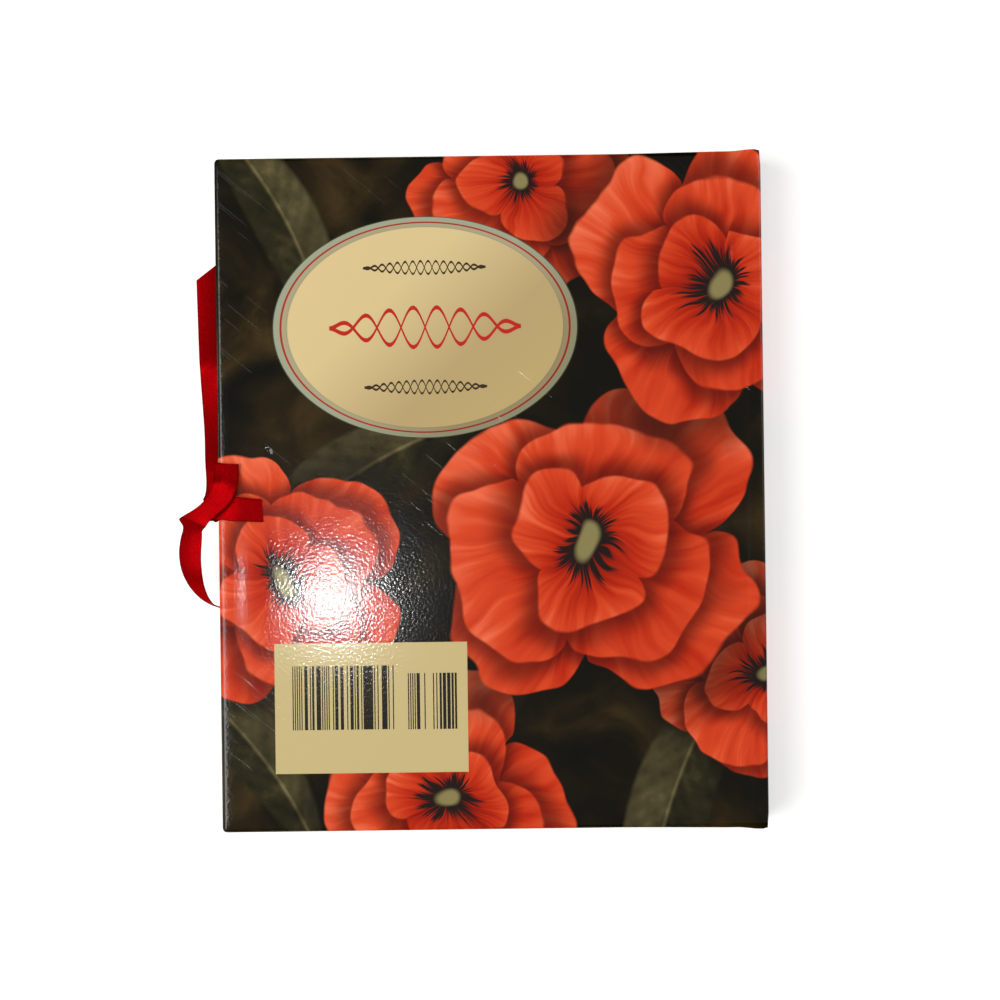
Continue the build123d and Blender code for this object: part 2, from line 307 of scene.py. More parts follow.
fringe = add(bloom_print, "CombineXYZ", fringe, far, given["Seed"])
fringe = add(bloom_print, "TexNoise", named={"Vector": fringe, "Scale": 1.6, "Detail": 1.0})
eye = add(bloom_print, "Math", fringe, 0.34, far, operation="MULTIPLY_ADD")
eye = add(
    bloom_print, "MapRange", eye, eye_reach - 0.06, eye_reach, 1.0, 0.0, interpolation_type="SMOOTHSTEP"
)
pod = add(
    bloom_print, "MapRange", far, pod_reach - 0.04, pod_reach, 0.0, 1.0, interpolation_type="SMOOTHSTEP"
)
heart = add(bloom_print, "Mix", named={0: pod, 6: linear("#8C8152"), 7: linear("#211512")}, data_type="RGBA")
colour = add(bloom_print, "Mix", named={0: eye, 6: colour, 7: heart.outputs[2]}, data_type="RGBA").outputs[2]
add(bloom_print, "NodeGroupOutput", named={"Colour": colour, "Cover": covered, "Shadow": shadow})

# Where the leaves lie on the flat sheet: x, y, length, width, turn and light.
leaves = [
    (-50, 66, 44, 9, 1.15, 0.16), (-34, 6, 46, 11, -0.55, 0.1), (-62, -66, 44, 9, 0.9, 0.12),
    (48, -74, 50, 11, -1.2, 0.14), (34, 70, 40, 9, 0.35, 0.1), (84, 8, 50, 10, 1.35, 0.12),
    (6, -40, 44, 8, 1.8, 0.08), (128, 62, 40, 9, 0.6, 0.14), (150, -30, 46, 10, -0.7, 0.1),
    (206, 52, 40, 10, -0.9, 0.12), (212, -64, 44, 9, 0.6, 0.14), (112, -60, 36, 8, 1.2, 0.08),
]
# Where the flowers lie on it: x, y, radius, tilt, turn and seed.
blooms = [
    (-12, -80, 37, 0.92, 0.7, 2.3), (70, -48, 32, 0.92, 2.2, 5.1), (-54, -22, 36, 0.94, 1.5, 3.7),
    (8, 80, 32, 0.9, 0.2, 4.4), (25, -14, 48, 0.95, 2.9, 1.2), (58, 54, 42, 0.93, 1.1, 6.8),
    (120, 4, 40, 0.93, 0.4, 7.7), (178, 44, 46, 0.95, 1.9, 8.3), (152, -62, 40, 0.9, 2.6, 9.6),
    (218, -14, 38, 0.92, 0.9, 10.4),
]
# A flower and its shadow reach this many radii from its middle.
bloom_spread = 1.45

# Oval label of the picture: its middle and reach, its border's width, and the way its cream darkens per mm.
label_middle, label_reach = (-16.7, 43.1, 0.0), (39.7, 28.8, 1.0)
label_mean_reach, label_border, label_darkens = 33.0, 3.4, (0.011, -0.012, 0.0)
# Its ornament of crossing waves: level, half length, height, wavelength, half thickness and ink.
label_waves = [
    (0.0, 25.0, 5.2, 12.5, 0.5, "#C0281E"),
    (15.5, 16.0, 1.7, 4.0, 0.24, "#3A2E20"),
    (-15.5, 16.0, 1.7, 4.0, 0.24, "#3A2E20"),
]


def label_print(tree, point, colour):
    """The picture with the label over it.
    The label is cream with a darker lower right. Its border is grey-green, with a red line in it and a thin
    dark edge. On it, a red rule of two crossing waves lies between two finer dark ones, all tapered."""
    middle = add(tree, "VectorMath", point, label_middle, operation="SUBTRACT")
    oval = add(tree, "VectorMath", middle, label_reach, operation="DIVIDE")
    ring = add(tree, "VectorMath", oval, operation="LENGTH").outputs["Value"]
    edge = add(tree, "Math", ring, -label_mean_reach, label_mean_reach, operation="MULTIPLY_ADD")
    fade = add(tree, "VectorMath", middle, label_darkens, operation="DOT_PRODUCT").outputs["Value"]
    cream = add(tree, "MapRange", fade, -0.5, 0.5, 0.0, 1.0)
    cream = add(
        tree, "ValToRGB", cream,
        stops=[(0.0, "#E1C892"), (0.3, "#DEC790"), (0.7, "#BEA573"), (1.0, "#C1A971")],
    )
    bands = add(tree, "MapRange", edge, 0.0, label_border, 0.0, 1.0)
    bands = add(
        tree, "ValToRGB", bands,
        stops=[
            (0.0, "#4A4A38"), (0.05, "#4A4A38"), (0.08, "#A0A78E"), (0.44, "#A6A68A"), (0.48, "#A8301F"),
            (0.57, "#A8301F"), (0.61, "#B0A685"), (0.86, "#ABA584"), (0.9, "#9A9474"), (0.96, "#D0BC8A"),
        ],
    )
    dimmed = add(tree, "ValToRGB", fade, stops=[(0.0, "#FFFFFF"), (0.4, "#E0D5C8")])
    bands = add(
        tree, "Mix", named={0: 1.0, 6: bands.outputs[0], 7: dimmed.outputs[0]},
        data_type="RGBA", blend_type="MULTIPLY",
    )
    inner = add(tree, "MapRange", edge, label_border - 0.2, label_border, 0.0, 1.0)
    filled = {0: inner, 6: bands.outputs[2], 7: cream.outputs[0]}
    label = add(tree, "Mix", named=filled, data_type="RGBA").outputs[2]
    spread = add(tree, "SeparateXYZ", middle).outputs
    for level, length, tall, wave, thick, ink in label_waves:
        shift = add(tree, "Math", spread["Y"], level, operation="SUBTRACT")
        run = add(tree, "Math", spread["X"], length, operation="DIVIDE")
        taper = add(tree, "Math", run, run, operation="MULTIPLY")
        taper = add(tree, "Math", 1.0, taper, operation="SUBTRACT")
        swing = add(tree, "Math", spread["X"], 2 * math.pi / wave, operation="MULTIPLY")
        swing = add(tree, "Math", swing, operation="SINE")
        swing = add(tree, "Math", swing, taper, operation="MULTIPLY")
        swing = add(tree, "Math", swing, tall, operation="MULTIPLY")
        for sign in (1.0, -1.0):
            gap = add(tree, "Math", swing, sign, shift, operation="MULTIPLY_ADD")
            gap = add(tree, "Math", gap, operation="ABSOLUTE")
            stroke = add(tree, "MapRange", gap, thick, thick + 0.12, 1.0, 0.0)
            end = add(tree, "MapRange", taper, 0.0, 0.02, 0.0, 1.0)
            stroke = add(tree, "Math", stroke, end, operation="MULTIPLY")
            label = add(tree, "Mix", named={0: stroke, 6: label, 7: linear(ink)}, data_type="RGBA").outputs[2]
    onto = add(tree, "MapRange", edge, -0.1, 0.1, 0.0, 1.0)
    return add(tree, "Mix", named={0: onto, 6: colour, 7: label}, data_type="RGBA").outputs[2]


# Cream panel of the picture and its two blocks of bars: left, right, bottom, top, the bars' step and the ink.
panel_middle, panel_reach = (-31.0, -55.7), (25.0, 17.0)
panel_blocks = [
    (-56.9, -6.9, -72.4, -38.7, None, "#CDB982"),
    (-52.6, -25.7, -61.1, -44.6, 0.283, "#26231C"),
    (-22.8, -9.7, -61.2, -46.7, 0.283, "#26231C"),
]


def panel_print(tree, point, colour):
    """The picture with the panel over it. The panel's bars have chance widths and say nothing."""
    spread = add(tree, "SeparateXYZ", point).outputs
    for left, right, bottom, top, bar_step, ink in panel_blocks:
        inside = 1.0
        for value, first, last in [(spread["X"], left, right), (spread["Y"], bottom, top)]:
            reach = (last - first) / 2
            from_middle = add(tree, "Math", value, (first + last) / 2, operation="SUBTRACT")
            from_middle = add(tree, "Math", from_middle, operation="ABSOLUTE")
            within = add(tree, "MapRange", from_middle, reach, reach + 0.08, 1.0, 0.0)
            inside = add(tree, "Math", within, inside, operation="MULTIPLY")
        if bar_step:
            column = add(tree, "Math", spread["X"], 1 / bar_step, operation="MULTIPLY")
            column = add(tree, "Math", column, operation="FLOOR")
            drawn = add(tree, "TexWhiteNoise", named={"W": column}, noise_dimensions="1D").outputs["Value"]
            drawn = add(tree, "Math", drawn, 0.5, operation="GREATER_THAN")
            inside = add(tree, "Math", inside, drawn, operation="MULTIPLY")
        colour = add(tree, "Mix", named={0: inside, 6: colour, 7: linear(ink)}, data_type="RGBA").outputs[2]
    return colour


# Laminated print: the picture shows dark and rich through a thin gloss film, which mirrors a lamp. The film
# has a fine pebbled skin, drawn coarser than real, a few long scratches and one nick. Handling has rubbed its
# gloss off along the sheet's folded edges.
ground_blur = 23.8095
pebble_size, pebble_depth = 0.76923, 0.0175
scratch_length, scratch_width, scratch_depth, scratch_turn = 28.5714, 0.384615, 0.01, 0.7
nick_middle, nick_reach, nick_depth = (-57.9, 11.2, 0.0), 1.5, 0.1
rubbed_off, rubbed_to, rubbed_gloss = 0.6, 1.0, 0.05
drawn_margin = 3


def printed_paper(left, right, bottom, top):
    """The laminated print, with what the picture shows in one region of the flat sheet."""

    def shows(x, y, reach_x, reach_y):
        spare_x, spare_y = reach_x + drawn_margin, reach_y + drawn_margin
        return left - spare_x < x < right + spare_x and bottom - spare_y < y < top + spare_y

    material, tree, shader = surface(
        "gloss_laminated_print",
        {
            "Roughness": 0.42, "IOR": 1.5, "Specular IOR Level": 0.0,
            "Coat Weight": 1.0, "Coat Roughness": 0.09, "Coat IOR": 1.5,
        },
    )
    sheet = add(tree, "UVMap", uv_map="flat")
    point = add(tree, "VectorMath", sheet, (1 / mm, 1 / mm, 0.0), operation="MULTIPLY")
    blur = add(
        tree, "TexNoise",
        named={"Vector": point, "Scale": 1 / ground_blur, "Detail": 4.0, "Roughness": 0.5, "Distortion": 0.8},
    )
    colour = add(
        tree, "ValToRGB", blur,
        stops=[(0.3, "#040300"), (0.44, "#120E03"), (0.56, "#261C07"), (0.7, "#3F3015"), (0.85, "#5A4927")],
    ).outputs[0]
    for x, y, length, width, turn, light in leaves:
        if shows(x, y, length, length):
            leaf = {"Centre": (x, y, 0), "Length": length, "Width": width, "Turn": turn, "Light": light}
            one = add(tree, "Group", node_tree=leaf_print, named={"Point": point, **leaf}).outputs
            leaf_over = {0: one["Cover"], 6: colour, 7: one["Colour"]}
            colour = add(tree, "Mix", named=leaf_over, data_type="RGBA").outputs[2]
    for x, y, radius, tilt, turn, seed in blooms:
        if shows(x, y, bloom_spread * radius, bloom_spread * radius):
            bloom = {"Centre": (x, y, 0), "Radius": radius, "Tilt": tilt, "Turn": turn, "Seed": seed}
            one = add(tree, "Group", node_tree=bloom_print, named={"Point": point, **bloom}).outputs
            for over, ink in [(one["Shadow"], linear("#0E0B04")), (one["Cover"], one["Colour"])]:
                colour = add(tree, "Mix", named={0: over, 6: colour, 7: ink}, data_type="RGBA").outputs[2]
    if shows(*label_middle[:2], *label_reach[:2]):
        colour = label_print(tree, point, colour)
    if shows(*panel_middle, *panel_reach):
        colour = panel_print(tree, point, colour)
    tree.links.new(colour, shader.inputs["Base Color"])
    pebble = add(
        tree, "TexNoise", named={"Vector": point, "Scale": 1 / pebble_size, "Detail": 1.0, "Roughness": 0.5}
    )
    relief = {"Height": pebble, "Strength": 1.0, "Distance": pebble_depth * mm}
    raised = add(tree, "Bump", named=relief)
    slanted = {"Vector": point, "Angle": scratch_turn}
    stretched = add(tree, "VectorRotate", named=slanted, rotation_type="Z_AXIS")
    stretch = (1 / scratch_length, 1 / scratch_width, 1.0)
    stretched = add(tree, "VectorMath", stretched, stretch, operation="MULTIPLY")
    scratch = add(tree, "TexNoise", named={"Vector": stretched, "Scale": 1.0, "Detail": 1.0})
    reliefs = [(add(tree, "MapRange", scratch, 0.7, 0.74, 0.0, 1.0), 0.5, scratch_depth)]
    if shows(*nick_middle[:2], nick_reach, nick_reach):
        off = add(tree, "VectorMath", point, nick_middle, operation="DISTANCE").outputs["Value"]
        nick = add(tree, "MapRange", off, 0.2, nick_reach, 0.0, 1.0, interpolation_type="SMOOTHSTEP")
        reliefs.append((nick, 1.0, nick_depth))
    for height, strength, deep in reliefs:
        relief = {"Height": height, "Normal": raised, "Strength": strength, "Distance": deep * mm}
        raised = add(tree, "Bump", named=relief)
    for socket in ("Normal", "Coat Normal"):
        tree.links.new(raised.outputs[0], shader.inputs[socket])
    inward = add(tree, "VectorMath", point, (sheet_middle, 0.0, 0.0), operation="SUBTRACT")
    inward = add(tree, "VectorMath", inward, operation="ABSOLUTE")
    inward = add(tree, "VectorMath", (sheet_reach, half, 0.0), inward, operation="SUBTRACT")
    inward = add(tree, "SeparateXYZ", inward).outputs
    inward = add(tree, "Math", inward["X"], inward["Y"], operation="MINIMUM")
    gloss = add(
        tree, "MapRange", inward, rubbed_off, rubbed_to, rubbed_gloss, 1.0, interpolation_type="SMOOTHSTEP"
    )
    tree.links.new(gloss.outputs[0], shader.inputs["Coat Weight"])
    return material


# The sheet is cut into regions, each with a material that holds only what shows there, because one material
# for the whole sheet is too large to render.
columns_at = [-200, -35, -5, 25, 48, 68, 90, 125, 160, 195, 400]
rows_at = [-200, -45, 0, 45, 200]
regions = {}


def picture(x, y):
    """The printed paper for a place on the flat sheet."""
    column = next(i for i in range(len(columns_at) - 1) if x < columns_at[i + 1])
    row = next(i for i in range(len(rows_at) - 1) if y < rows_at[i + 1])
    if (column, row) not in regions:
        sides = columns_at[column], columns_at[column + 1]
        regions[column, row] = printed_paper(*sides, rows_at[row], rows_at[row + 1])
    return regions[column, row]


# The joint is a shallow groove, and the paper is pressed thinner towards the boards' other edges, all in mm.
joint_depth, joint_from, joint_middle, joint_to = 0.15, 59.0, 65.7, 67.8
press_depth, press_reach, press_from, press_to = 0.19, 2.0, 55.0, 62.0
wave_depth, wave_wide, wave_tall = 0.02, 69.813, 89.76
board_widens, widens_from, widens_to, joint_widens = 0.35, 30.0, 65.0, 0.45
edge_radius, edge_low, turn_in = 0.5, 2.55, 14.0
wrap_depth = face - underside


def cover_paper(name, level, inward, nodes, flat_from, marks):
    """The paper over one board, as rings of points round its outline: face, joint, edges and turn-ins.
    Marks are the face's dents: x, y, width, height and depth."""
    steps = np.array([1.2, 2.4, 4.0, 6.0])
    inner = half - steps[-1]
    board_xs = np.linspace(fore + steps[-1], board_end, 76)[1:]
    joint_xs = np.linspace(board_end, lip_end, 27)[1:]
    xs = np.concatenate([fore + steps, board_xs, joint_xs])
    ys = np.concatenate([steps - half, np.linspace(-inner, inner, 98)[1:-1], (half - steps)[::-1]])

    def end_at(x):
        """How far the paper reaches to head and tail: further towards the spine, whose board is longer."""
        on_board = board_widens * float(smooth_step((x - widens_from) / (widens_to - widens_from)))
        on_joint = joint_widens * float(smooth_step((x - board_end) / (lip_end - board_end)))
        return half + on_board + on_joint

    arc = np.linspace(0, math.pi / 2, 7)[1:-1]
    turns = [(math.sin(a), math.cos(a)) for a in arc]
    outline = [(x, -end_at(x), 0, 1) for x in xs[::-1]]
    outline += [(fore + corner - corner * s, -half + corner - corner * c, s, c) for s, c in turns]
    outline += [(fore, y, 1, 0) for y in ys]
    outline += [(fore + corner - corner * c, half - corner + corner * s, c, -s) for s, c in turns]
    outline += [(x, end_at(x), 0, -1) for x in xs]

    def sink(x, y):
        """How far the face lies below its highest level: joint, pressed edges, dents and a slow wave."""
        into = smooth_step((x - joint_from) / (joint_middle - joint_from))
        out_of = smooth_step((x - joint_middle) / (joint_to - joint_middle))
        groove = joint_depth * float(into * (1 - out_of))
        edge = max(0.0, min(x - fore, half - abs(y)))
        pressed = press_depth * math.exp(-edge / press_reach)
        pressed *= float(smooth_step((press_to - x) / (press_to - press_from)))
        dents = sum(
            deep * math.exp(-(((x - u) / wide) ** 2) - ((y - v) / tall) ** 2)
            for u, v, wide, tall, deep in marks
        )
        wave = wave_depth * math.sin(2 * math.pi * x / wave_wide + 1) * math.sin(2 * math.pi * y / wave_tall)
        return groove + pressed + dents + wave + wave_depth

    # Each ring: its inset from the outline, its depth, how much of the face's sinking it follows, and how far
    # along the paper it lies from the outline, which is below zero on the board's edge and inside.
    rings = [
        (turn_in, wrap_depth, 0.0, -16.4),
        (0.45, wrap_depth, 0.0, -2.8),
        (0.12, 2.8, 0.0, -2.5),
        (0.0, edge_low, 0.0, -2.2),
        (0.0, (edge_radius + edge_low) / 2, 0.5, -1.3),
    ]
    for a in np.linspace(0, math.pi / 2, 6):
        inset, depth = edge_radius * (1 - math.cos(a)), edge_radius * (1 - math.sin(a))
        rings.append((inset, depth, 1.0, edge_radius * (1 + a - math.pi / 2)))
    rings += [(inset, 0.0, 1.0, inset) for inset in (1.2, 1.7, 2.4, 3.2, 4.0, 6.0)]
    points, flat = [], []
    for inset, depth, follows, unrolled in rings:
        for x, y, nx, ny in outline:
            px, py = x + nx * inset, y + ny * inset
            if inset > corner:
                px, py = max(px, fore + inset), max(-half + inset, min(half - inset, py))
            drop = depth + follows * sink(px, py)
            points.append((px, py, level + inward * drop))
            sheet_x, sheet_y = (px, py) if unrolled > 0 else (x + nx * unrolled, y + ny * unrolled)
            flat.append((flat_from(sheet_x), sheet_y))
    faces = grid_faces(len(rings), len(outline))
    start = len(points)
    inner_x = [x for x in xs if x >= fore + steps[-1]]
    inner_y = [y for y in ys if abs(y) <= inner]
    for y in inner_y:
        for x in inner_x:
            points.append((x, y, level + inward * sink(x, y)))
            flat.append((flat_from(x), y))
    faces += grid_faces(len(inner_y), len(inner_x), start)

    def distinct(face_points):
        """A face's corners, without those that fall on an earlier one."""
        places = {}
        for i in face_points:
            places.setdefault(tuple(np.round(points[i], 5)), i)
        return tuple(places.values())

    trimmed = [distinct(f) for f in faces]
    kept = [f for sides in (4, 3) for f in trimmed if len(f) == sides]
    item = piece(name, points, kept, picture, flat)
    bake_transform(item)
    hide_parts(*nodes)
    return item


back_dents = [(-63.4, -22.0, 2.83, 16.1, 0.11), (63.8, 62.2, 0.85, 4.0, 0.1)]
back_nodes = ["back_cover_paper", "back_joint_paper"]
cover_paper("back_cover_wrap", face, -1, back_nodes, lambda x: x, back_dents)

# Spine paper: the middle of the same sheet, glued round the spine board from one joint to the other.
# It is turned in over the board's two ends, which stand a little proud of the covers and are rounded.
lip_step, paper_inset = 0.55, 0.9
end_round, end_falls, straight_half = 1.7, 1.5, 84.0
turns = [(math.sin(a), math.cos(a)) for a in np.linspace(0, math.pi / 2, 7)]
centre_x, centre_z = spine_face - spine_corner, face - spine_corner
profile = [(lip_end, face, 0, -1), (lip_end + lip_step, face, 0, -1)]
profile += [(centre_x + spine_corner * s, centre_z + spine_corner * c, -s, -c) for s, c in turns]
profile += [(spine_face, z, -1, 0) for z in np.linspace(centre_z, spine_corner, 9)[1:-1]]
profile += [(centre_x + spine_corner * c, spine_corner - spine_corner * s, -c, s) for s, c in turns]
profile += [(lip_end + lip_step, 0.0, 0, 1), (lip_end, 0.0, 0, 1)]
travel = [0.0]
for a, b in zip(profile, profile[1:]):
    travel.append(travel[-1] + math.hypot(b[0] - a[0], b[1] - a[1]))
# The turned end's rows: how far from the middle, and how far in from the paper's outer face.
turned_end = [(spine_end, 1.6), (spine_end, 0.5), (spine_end - 0.08, 0.2), (spine_end - 0.3, 0.05)]
turned_end.append((spine_end - 0.7, 0.0))
rows = [(-y, inset) for y, inset in turned_end]
rows += [(y, 0.0) for y in np.linspace(-straight_half, straight_half, 40)]
rows += turned_end[::-1]
points, flat = [], []
for y, inset in rows:
    past = min(1.0, max(0.0, (abs(y) - spine_end + end_round) / end_round))
    falls = end_falls * (1 - math.sqrt(1 - past**2))
    for (x, z, nx, nz), run in zip(profile, travel):
        rounded = falls * (x - lip_end) / (spine_face - lip_end)
        px = max(lip_end, x + nx * min(inset, paper_inset) - rounded)
        pz = z + nz * min(inset, paper_inset)
        if inset > 1:
            px = lip_end
        points.append((px, y, pz))
        flat.append((lip_end + run, y))
spine_wrap = piece("spine_wrap", points, grid_faces(len(rows), len(profile)), picture, flat)
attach(spine_wrap, "book_block")
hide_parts("spine_cover_paper")


def front_flat(x):
    """The place on the flat sheet, past the spine, of a place on the front cover."""
    return lip_end + travel[-1] + lip_end - x


front_nodes = ["front_cover_paper", "front_joint_paper"]
cover_paper("front_cover_wrap", 0.0, 1, front_nodes, front_flat, [])

# Endpapers: plain cream paper, pasted inside each cover over the turn-ins, carried across the joint as a
# hinge, and left free as a flyleaf over the first and last page.
# Cream paper: matt, with a faint cloud of fibres and a soft tooth, which is drawn coarser than real.
fibre_cloud, tooth_size = 7.14286 * mm, 0.4 * mm
endpaper, tree, shader = surface("cream_endpaper", {"Roughness": 0.86, "IOR": 1.5})
sheet = add(tree, "TexCoord").outputs["Object"]
cloud = add(
    tree, "TexNoise", named={"Vector": sheet, "Scale": 1 / fibre_cloud, "Detail": 6.0, "Roughness": 0.65}
)
shade = add(tree, "ValToRGB", cloud, stops=[(0.3, "#E6DCC2"), (0.5, "#ECE3CC"), (0.7, "#F1EAD6")])
tree.links.new(shade.outputs[0], shader.inputs["Base Color"])
tooth = add(tree, "TexNoise", named={"Vector": sheet, "Scale": 1 / tooth_size, "Detail": 3.0})
raised = add(tree, "Bump", named={"Height": tooth.outputs[0], "Strength": 0.4, "Distance": 0.02 * mm})
tree.links.new(raised.outputs[0], shader.inputs["Normal"])
finish_node(endpaper, "endpaper", "back_pastedown", "front_pastedown")
off_the_ruling = (0.0, 500.0)
gutter_lead, trim_share = 3.0, 1 / 700


def paper_sheets(name, rows, gutter, levels, material, ragged=0.0, seed=1):
    """Thin closed sheets of paper, one over another, a little ragged at the fore edge.
    Rows are (y, fore edge x) from tail to head, gutter is the x steps to the spine, and levels are each
    sheet's two faces."""
    chance = random.Random(seed)
    points, flat, faces = [], [], []
    columns = 3 + len(gutter)
    count = len(rows) * columns
    border = [r * columns for r in range(len(rows))]
    border += [count - columns + c for c in range(1, columns)]
    border += [r * columns + columns - 1 for r in range(len(rows) - 2, -1, -1)]
    border += list(range(columns - 2, 0, -1))
    for low, high in levels:
        back = chance.uniform(0, ragged)
        shorter = back * trim_share
        first = len(points)
        for z in (low, high):
            for y, left in rows:
                left += back
                for x in [left, (left + gutter[0]) / 2, gutter[0] - gutter_lead, *gutter]:
                    points.append((x, y * (1 - shorter), z))
                    flat.append((x, y))
        faces += grid_faces(len(rows), columns, first)
        faces += grid_faces(len(rows), columns, first + count)
        for i, j in zip(border, border[1:] + border[:1]):
            base = len(points)
            for k in (i, j, j + count, i + count):
                points.append(points[first + k])
                flat.append(off_the_ruling)
            faces.append((base, base + 1, base + 2, base + 3))
    return piece(name, points, faces, material, flat, smooth=False)


(block_fore, _, _), (block_back, block_half, _) = drawn_box("birthday_section_1")
hinge_fore, hinge_back, hinge_gauge = board_end - 0.7, block_back + 0.55, 0.2
hinge_rows = [(-block_half, hinge_fore), (block_half, hinge_fore)]
hinge_steps = list(np.linspace(board_end, hinge_back, 20))
for side, lift in [("back", 0.03), ("front", 0.0)]:
    low = drawn_box(f"{side}_inner_hinge")[0][2] + lift
    levels = [(low, low + hinge_gauge)]
    strip = paper_sheets(f"{side}_endpaper_hinge", hinge_rows, hinge_steps, levels, endpaper)
    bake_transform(strip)
    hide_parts(f"{side}_inner_hinge")
leaf_rows = [(-block_half, block_fore), (block_half, block_fore)]
gutter_steps = list(np.linspace(board_end, block_back - 0.15, 18))
for side in ("back", "front"):
    (_, _, low), (_, _, high) = drawn_box(f"{side}_flyleaf")
    leaf = paper_sheets(f"{side}_flyleaf_sheet", leaf_rows, gutter_steps, [(low, high)], endpaper)
    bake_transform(leaf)
    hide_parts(f"{side}_flyleaf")

# Pages: five folded and sewn sections for birthdays, and behind them twelve index gatherings glued at the
# spine edge, each cut away below its own tab. The paper is uncoated, ruled in grey-blue.
# Page paper: warm white and matt, with fine ruled lines on its faces. A sheet's cut edge is plain. The tooth
# is drawn coarser than real.
rule_step, ruled_half_width, ruled_half_height = 7.0 * mm, 53.5 * mm, 70.0 * mm
page_cloud, page_tooth = 6.25 * mm, 0.384615 * mm
page_paper, tree, shader = surface("ruled_page_paper", {"Roughness": 0.88, "IOR": 1.5})
sheet = add(tree, "UVMap", uv_map="flat")
cloud = add(
    tree, "TexNoise", named={"Vector": sheet, "Scale": 1 / page_cloud, "Detail": 5.0, "Roughness": 0.6}
)
paper = add(tree, "ValToRGB", cloud, stops=[(0.3, "#EADFC6"), (0.5, "#EFE6D0"), (0.7, "#F3ECDA")])
spread = add(tree, "SeparateXYZ", sheet).outputs
step = add(tree, "Math", spread["Y"], rule_step, operation="DIVIDE")
step = add(tree, "Math", add(tree, "Math", step, operation="FRACT"), 0.5, operation="SUBTRACT")
line = add(tree, "MapRange", add(tree, "Math", step, operation="ABSOLUTE"), 0.018, 0.03, 0.55, 0.0)
for along, reach in [(spread["X"], ruled_half_width), (spread["Y"], ruled_half_height)]:
    away = add(tree, "Math", along, operation="ABSOLUTE")
    within = add(tree, "MapRange", away, reach, reach + 0.5 * mm, 1.0, 0.0)
    line = add(tree, "Math", line, within, operation="MULTIPLY")
shade = add(tree, "Mix", named={0: line, 6: paper.outputs[0], 7: linear("#8C9AA6")}, data_type="RGBA")
tree.links.new(shade.outputs[2], shader.inputs["Base Color"])
tooth = add(tree, "TexNoise", named={"Vector": sheet, "Scale": 1 / page_tooth, "Detail": 3.0})
raised = add(tree, "Bump", named={"Height": tooth.outputs[0], "Strength": 0.35, "Distance": 0.02 * mm})
tree.links.new(raised.outputs[0], shader.inputs["Normal"])
section_leaves, section_step, section_gauge, section_ragged = 8, 0.1625, 0.148, 0.22
fold_steps = [block_back - 3.85, block_back - 0.45]
for number in range(5):
    low = drawn_box(f"birthday_section_{number + 1}")[0][2]
    lows = [low + section_step * k for k in range(section_leaves)]
    levels = [(z, z + section_gauge) for z in lows]
    section = paper_sheets(
        f"birthday_pages_{number + 1}", leaf_rows, fold_steps, levels, page_paper, section_ragged, number
    )
    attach(section, "book_block")
    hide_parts(f"birthday_section_{number + 1}")
# Tab ink: matt dark brown, a little uneven.
ink_cloud = 0.66667 * mm
ink, tree, shader = surface("brown_printing_ink", {"Roughness": 0.7, "IOR": 1.5})
spot = add(tree, "TexCoord").outputs["Object"]
uneven = add(tree, "TexNoise", named={"Vector": spot, "Scale": 1 / ink_cloud, "Detail": 2.0})
shade = add(tree, "ValToRGB", uneven, stops=[(0.3, "#4A2A1E"), (0.7, "#5C3829")])
tree.links.new(shade.outputs[0], shader.inputs["Base Color"])
tab_letters = ["AB", "CD", "EF", "GH", "IJ", "KL", "MN", "OP", "QR", "ST", "UV", "WXYZ"]
tab_depth, tab_height, tab_corner = 7.0, 14.0, 1.5
letter_size, letter_in, letter_lift = 4.2, 0.3, 0.012
index_leaves, index_step, index_gauge, index_ragged = 3, 0.122, 0.108, 0.08
index_seed = 40
for number, letters in enumerate(tab_letters, 1):
    body = f"index_leaf_{number:02d}"
    low = drawn_box(body)[0][2]
    cut = block_half - tab_height * number
    rows = []
    if cut > -block_half + 1:
        rows += [(-block_half, block_fore + tab_depth), (cut - 0.02, block_fore + tab_depth)]
    for a in np.linspace(0, math.pi / 2, 6):
        off_y, off_x = tab_corner * (1 - math.cos(a)), tab_corner * (1 - math.sin(a))
        rows.append((cut + off_y, block_fore + off_x))
    rows.append((block_half, block_fore))
    lows = [low + index_step * k for k in range(index_leaves)]
    levels = [(z, z + index_gauge) for z in lows]
    seed = index_seed + number
    leaf = paper_sheets(
        f"index_pages_{number:02d}", rows, gutter_steps, levels, page_paper, index_ragged, seed
    )
    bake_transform(leaf)
    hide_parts(body, *(["bound_edge"] if number == 1 else []))
    words = bpy.data.curves.new(f"tab_print_{number:02d}", "FONT")
    words.body = letters
    words.size = letter_size * mm
    words.align_x = "CENTER"
    words.align_y = "CENTER"
    holder = bpy.data.objects.new("tab_words", words)
    mesh = bpy.data.meshes.new_from_object(holder)
    bpy.data.objects.remove(holder)
    mesh.materials.clear()
    mesh.materials.append(ink)
    letters_piece = bpy.data.objects.new(f"tab_print_{number:02d}", mesh)
    bpy.context.scene.collection.objects.link(letters_piece)
    letters_piece.rotation_euler = (0, math.pi, -math.pi / 2)
    middle = (block_fore + tab_depth / 2 + letter_in, cut + tab_height / 2, low - letter_lift)
    letters_piece.location = [value * mm for value in middle]
    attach(letters_piece, body)

